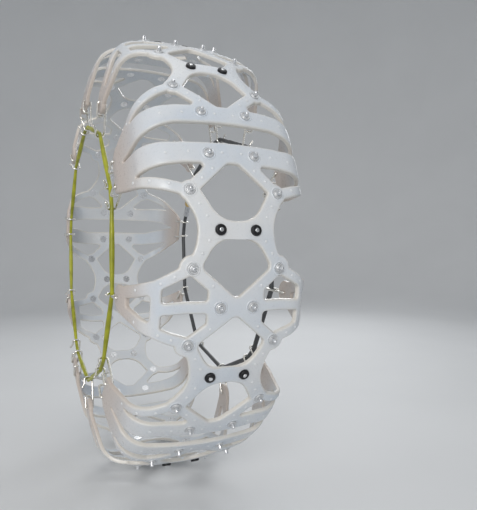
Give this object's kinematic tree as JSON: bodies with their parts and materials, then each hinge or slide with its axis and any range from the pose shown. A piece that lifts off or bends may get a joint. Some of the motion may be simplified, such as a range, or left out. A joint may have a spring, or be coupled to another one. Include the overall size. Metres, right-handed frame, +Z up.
{
  "type": "tire snow chain",
  "caption": "Moulded anti-skid net for a car tyre: strapped segments with steel studs, screwed together at lapped bars and drawn in by wire hooks on an elastic ring and an inner cable.",
  "frame": {"origin": "centre of the wheel: on the wheel axis, half way across the tread", "axes": "+Y along the wheel axis towards the car, -Y out of the outer side with the elastic ring, +Z up, +X to the front of the wheel as the picture shows it"},
  "size_m": [0.6688, 0.25, 0.671],
  "materials": {
    "tpu": "milky, slightly translucent, satin",
    "stud_steel": "turned",
    "collar_steel": "pressed, plated",
    "screw_steel": "zinc plated",
    "nut_black": "black oxide",
    "hook_wire": "bright plated wire",
    "ring_rubber": "smooth yellow-green",
    "cable_jacket": "smooth jacket over steel strand",
    "ferrule_steel": "crimped",
    "sleeve_brass": "turned"
  },
  "bodies": {
    "net": {"wing_segment_1": "tpu", "wing_segment_2": "tpu", "wing_segment_3": "tpu", "wing_segment_4": "tpu", "wing_segment_5": "tpu", "fan_segment_1": "tpu", "fan_segment_2": "tpu", "fan_segment_3": "tpu", "fan_segment_4": "tpu", "fan_segment_5": "tpu", "wing_stud_pins": "stud_steel", "wing_stud_collars": "collar_steel", "fan_stud_pins": "stud_steel", "fan_stud_collars": "collar_steel", "bar_screws": "screw_steel", "bar_nuts": "nut_black"},
    "tension_ring": {"tension_ring": "ring_rubber"},
    "outer_hook_1": {"outer_hook_1": "hook_wire"},
    "outer_hook_2": {"outer_hook_2": "hook_wire"},
    "outer_hook_3": {"outer_hook_3": "hook_wire"},
    "outer_hook_4": {"outer_hook_4": "hook_wire"},
    "outer_hook_5": {"outer_hook_5": "hook_wire"},
    "outer_hook_6": {"outer_hook_6": "hook_wire"},
    "outer_hook_7": {"outer_hook_7": "hook_wire"},
    "outer_hook_8": {"outer_hook_8": "hook_wire"},
    "outer_hook_9": {"outer_hook_9": "hook_wire"},
    "outer_hook_10": {"outer_hook_10": "hook_wire"},
    "outer_hook_11": {"outer_hook_11": "hook_wire"},
    "outer_hook_12": {"outer_hook_12": "hook_wire"},
    "outer_hook_13": {"outer_hook_13": "hook_wire"},
    "outer_hook_14": {"outer_hook_14": "hook_wire"},
    "outer_hook_15": {"outer_hook_15": "hook_wire"},
    "inner_cable": {"inner_cable": "cable_jacket", "cable_ferrule_a": "ferrule_steel", "cable_ferrule_b": "ferrule_steel"},
    "cable_lock_sleeve": {"cable_lock_sleeve": "sleeve_brass"},
    "inner_hook_1": {"inner_hook_1": "hook_wire"},
    "inner_hook_2": {"inner_hook_2": "hook_wire"},
    "inner_hook_3": {"inner_hook_3": "hook_wire"},
    "inner_hook_4": {"inner_hook_4": "hook_wire"},
    "inner_hook_5": {"inner_hook_5": "hook_wire"},
    "inner_hook_6": {"inner_hook_6": "hook_wire"},
    "inner_hook_7": {"inner_hook_7": "hook_wire"},
    "inner_hook_8": {"inner_hook_8": "hook_wire"},
    "inner_hook_9": {"inner_hook_9": "hook_wire"},
    "inner_hook_10": {"inner_hook_10": "hook_wire"},
    "inner_hook_11": {"inner_hook_11": "hook_wire"},
    "inner_hook_12": {"inner_hook_12": "hook_wire"},
    "inner_hook_13": {"inner_hook_13": "hook_wire"},
    "inner_hook_14": {"inner_hook_14": "hook_wire"},
    "inner_hook_15": {"inner_hook_15": "hook_wire"}
  },
  "joints": [
    {"name": "tension_ring_creep", "type": "hinge", "parent": "net", "child": "tension_ring", "pos_m": [0, -0.1136, 0], "axis": [0, -1, 0], "range_deg": [-0.2, 4.3]},
    {"name": "inner_cable_creep", "type": "hinge", "parent": "net", "child": "inner_cable", "pos_m": [0, 0.1136, 0], "axis": [0, -1, 0], "range_deg": [-0.2, 4.3]},
    {"name": "cable_lock_sleeve_spin", "type": "hinge", "parent": "inner_cable", "child": "cable_lock_sleeve", "pos_m": [-0.15794, 0.1136, 0.11091], "axis": [-0.5735, 0, -0.8192], "continuous": true},
    {"name": "outer_hook_1_swing", "type": "hinge", "parent": "net", "child": "outer_hook_1", "pos_m": [0.2359, -0.1136, -0.05403], "axis": [0, -1, 0], "range_deg": [-21, 1.1]},
    {"name": "outer_hook_2_swing", "type": "hinge", "parent": "net", "child": "outer_hook_2", "pos_m": [0.22896, -0.1136, 0.07839], "axis": [0, -1, 0], "range_deg": [-21, 1.1]},
    {"name": "outer_hook_3_swing", "type": "hinge", "parent": "net", "child": "outer_hook_3", "pos_m": [0.21505, -0.1136, 0.11099], "axis": [0, -1, 0], "range_deg": [-21, 1.1]},
    {"name": "outer_hook_4_swing", "type": "hinge", "parent": "net", "child": "outer_hook_4", "pos_m": [0.12428, -0.1136, 0.20766], "axis": [0, -1, 0], "range_deg": [-21, 1.1]},
    {"name": "outer_hook_5_swing", "type": "hinge", "parent": "net", "child": "outer_hook_5", "pos_m": [-0.0038, -0.1136, 0.24197], "axis": [0, -1, 0], "range_deg": [-21, 1.1]},
    {"name": "outer_hook_6_swing", "type": "hinge", "parent": "net", "child": "outer_hook_6", "pos_m": [-0.03911, -0.1136, 0.23882], "axis": [0, -1, 0], "range_deg": [-21, 1.1]},
    {"name": "outer_hook_7_swing", "type": "hinge", "parent": "net", "child": "outer_hook_7", "pos_m": [-0.15909, -0.1136, 0.18236], "axis": [0, -1, 0], "range_deg": [-21, 1.1]},
    {"name": "outer_hook_8_swing", "type": "hinge", "parent": "net", "child": "outer_hook_8", "pos_m": [-0.23131, -0.1136, 0.07116], "axis": [0, -1, 0], "range_deg": [-21, 1.1]},
    {"name": "outer_hook_9_swing", "type": "hinge", "parent": "net", "child": "outer_hook_9", "pos_m": [-0.23922, -0.1136, 0.03661], "axis": [0, -1, 0], "range_deg": [-21, 1.1]},
    {"name": "outer_hook_10_swing", "type": "hinge", "parent": "net", "child": "outer_hook_10", "pos_m": [-0.2226, -0.1136, -0.09495], "axis": [0, -1, 0], "range_deg": [-21, 1.1]},
    {"name": "outer_hook_11_swing", "type": "hinge", "parent": "net", "child": "outer_hook_11", "pos_m": [-0.13915, -0.1136, -0.198], "axis": [0, -1, 0], "range_deg": [-21, 1.1]},
    {"name": "outer_hook_12_swing", "type": "hinge", "parent": "net", "child": "outer_hook_12", "pos_m": [-0.10874, -0.1136, -0.2162], "axis": [0, -1, 0], "range_deg": [-21, 1.1]},
    {"name": "outer_hook_13_swing", "type": "hinge", "parent": "net", "child": "outer_hook_13", "pos_m": [0.02151, -0.1136, -0.24105], "axis": [0, -1, 0], "range_deg": [-21, 1.1]},
    {"name": "outer_hook_14_swing", "type": "hinge", "parent": "net", "child": "outer_hook_14", "pos_m": [0.1453, -0.1136, -0.19353], "axis": [0, -1, 0], "range_deg": [-21, 1.1]},
    {"name": "outer_hook_15_swing", "type": "hinge", "parent": "net", "child": "outer_hook_15", "pos_m": [0.17202, -0.1136, -0.17022], "axis": [0, -1, 0], "range_deg": [-21, 1.1]},
    {"name": "inner_hook_1_swing", "type": "hinge", "parent": "net", "child": "inner_hook_1", "pos_m": [0.2359, 0.1136, -0.05403], "axis": [0, -1, 0], "range_deg": [-21, 1.1]},
    {"name": "inner_hook_2_swing", "type": "hinge", "parent": "net", "child": "inner_hook_2", "pos_m": [0.22896, 0.1136, 0.07839], "axis": [0, -1, 0], "range_deg": [-21, 1.1]},
    {"name": "inner_hook_3_swing", "type": "hinge", "parent": "net", "child": "inner_hook_3", "pos_m": [0.21505, 0.1136, 0.11099], "axis": [0, -1, 0], "range_deg": [-21, 1.1]},
    {"name": "inner_hook_4_swing", "type": "hinge", "parent": "net", "child": "inner_hook_4", "pos_m": [0.12428, 0.1136, 0.20766], "axis": [0, -1, 0], "range_deg": [-21, 1.1]},
    {"name": "inner_hook_5_swing", "type": "hinge", "parent": "net", "child": "inner_hook_5", "pos_m": [-0.0038, 0.1136, 0.24197], "axis": [0, -1, 0], "range_deg": [-21, 1.1]},
    {"name": "inner_hook_6_swing", "type": "hinge", "parent": "net", "child": "inner_hook_6", "pos_m": [-0.03911, 0.1136, 0.23882], "axis": [0, -1, 0], "range_deg": [-21, 1.1]},
    {"name": "inner_hook_7_swing", "type": "hinge", "parent": "net", "child": "inner_hook_7", "pos_m": [-0.15909, 0.1136, 0.18236], "axis": [0, -1, 0], "range_deg": [-21, 1.1]},
    {"name": "inner_hook_8_swing", "type": "hinge", "parent": "net", "child": "inner_hook_8", "pos_m": [-0.23131, 0.1136, 0.07116], "axis": [0, -1, 0], "range_deg": [-21, 1.1]},
    {"name": "inner_hook_9_swing", "type": "hinge", "parent": "net", "child": "inner_hook_9", "pos_m": [-0.23922, 0.1136, 0.03661], "axis": [0, -1, 0], "range_deg": [-21, 1.1]},
    {"name": "inner_hook_10_swing", "type": "hinge", "parent": "net", "child": "inner_hook_10", "pos_m": [-0.2226, 0.1136, -0.09495], "axis": [0, -1, 0], "range_deg": [-21, 1.1]},
    {"name": "inner_hook_11_swing", "type": "hinge", "parent": "net", "child": "inner_hook_11", "pos_m": [-0.13915, 0.1136, -0.198], "axis": [0, -1, 0], "range_deg": [-21, 1.1]},
    {"name": "inner_hook_12_swing", "type": "hinge", "parent": "net", "child": "inner_hook_12", "pos_m": [-0.10874, 0.1136, -0.2162], "axis": [0, -1, 0], "range_deg": [-21, 1.1]},
    {"name": "inner_hook_13_swing", "type": "hinge", "parent": "net", "child": "inner_hook_13", "pos_m": [0.02151, 0.1136, -0.24105], "axis": [0, -1, 0], "range_deg": [-21, 1.1]},
    {"name": "inner_hook_14_swing", "type": "hinge", "parent": "net", "child": "inner_hook_14", "pos_m": [0.1453, 0.1136, -0.19353], "axis": [0, -1, 0], "range_deg": [-21, 1.1]},
    {"name": "inner_hook_15_swing", "type": "hinge", "parent": "net", "child": "inner_hook_15", "pos_m": [0.17202, 0.1136, -0.17022], "axis": [0, -1, 0], "range_deg": [-21, 1.1]}
  ],
  "couplings": [
    {"joint": "outer_hook_1_swing", "follows": "tension_ring_creep", "ratio": -4.7675},
    {"joint": "outer_hook_2_swing", "follows": "tension_ring_creep", "ratio": -4.7675},
    {"joint": "outer_hook_3_swing", "follows": "tension_ring_creep", "ratio": -4.7675},
    {"joint": "outer_hook_4_swing", "follows": "tension_ring_creep", "ratio": -4.7675},
    {"joint": "outer_hook_5_swing", "follows": "tension_ring_creep", "ratio": -4.7675},
    {"joint": "outer_hook_6_swing", "follows": "tension_ring_creep", "ratio": -4.7675},
    {"joint": "outer_hook_7_swing", "follows": "tension_ring_creep", "ratio": -4.7675},
    {"joint": "outer_hook_8_swing", "follows": "tension_ring_creep", "ratio": -4.7675},
    {"joint": "outer_hook_9_swing", "follows": "tension_ring_creep", "ratio": -4.7675},
    {"joint": "outer_hook_10_swing", "follows": "tension_ring_creep", "ratio": -4.7675},
    {"joint": "outer_hook_11_swing", "follows": "tension_ring_creep", "ratio": -4.7675},
    {"joint": "outer_hook_12_swing", "follows": "tension_ring_creep", "ratio": -4.7675},
    {"joint": "outer_hook_13_swing", "follows": "tension_ring_creep", "ratio": -4.7675},
    {"joint": "outer_hook_14_swing", "follows": "tension_ring_creep", "ratio": -4.7675},
    {"joint": "outer_hook_15_swing", "follows": "tension_ring_creep", "ratio": -4.7675},
    {"joint": "inner_hook_1_swing", "follows": "inner_cable_creep", "ratio": -4.7675},
    {"joint": "inner_hook_2_swing", "follows": "inner_cable_creep", "ratio": -4.7675},
    {"joint": "inner_hook_3_swing", "follows": "inner_cable_creep", "ratio": -4.7675},
    {"joint": "inner_hook_4_swing", "follows": "inner_cable_creep", "ratio": -4.7675},
    {"joint": "inner_hook_5_swing", "follows": "inner_cable_creep", "ratio": -4.7675},
    {"joint": "inner_hook_6_swing", "follows": "inner_cable_creep", "ratio": -4.7675},
    {"joint": "inner_hook_7_swing", "follows": "inner_cable_creep", "ratio": -4.7675},
    {"joint": "inner_hook_8_swing", "follows": "inner_cable_creep", "ratio": -4.7675},
    {"joint": "inner_hook_9_swing", "follows": "inner_cable_creep", "ratio": -4.7675},
    {"joint": "inner_hook_10_swing", "follows": "inner_cable_creep", "ratio": -4.7675},
    {"joint": "inner_hook_11_swing", "follows": "inner_cable_creep", "ratio": -4.7675},
    {"joint": "inner_hook_12_swing", "follows": "inner_cable_creep", "ratio": -4.7675},
    {"joint": "inner_hook_13_swing", "follows": "inner_cable_creep", "ratio": -4.7675},
    {"joint": "inner_hook_14_swing", "follows": "inner_cable_creep", "ratio": -4.7675},
    {"joint": "inner_hook_15_swing", "follows": "inner_cable_creep", "ratio": -4.7675}
  ]
}
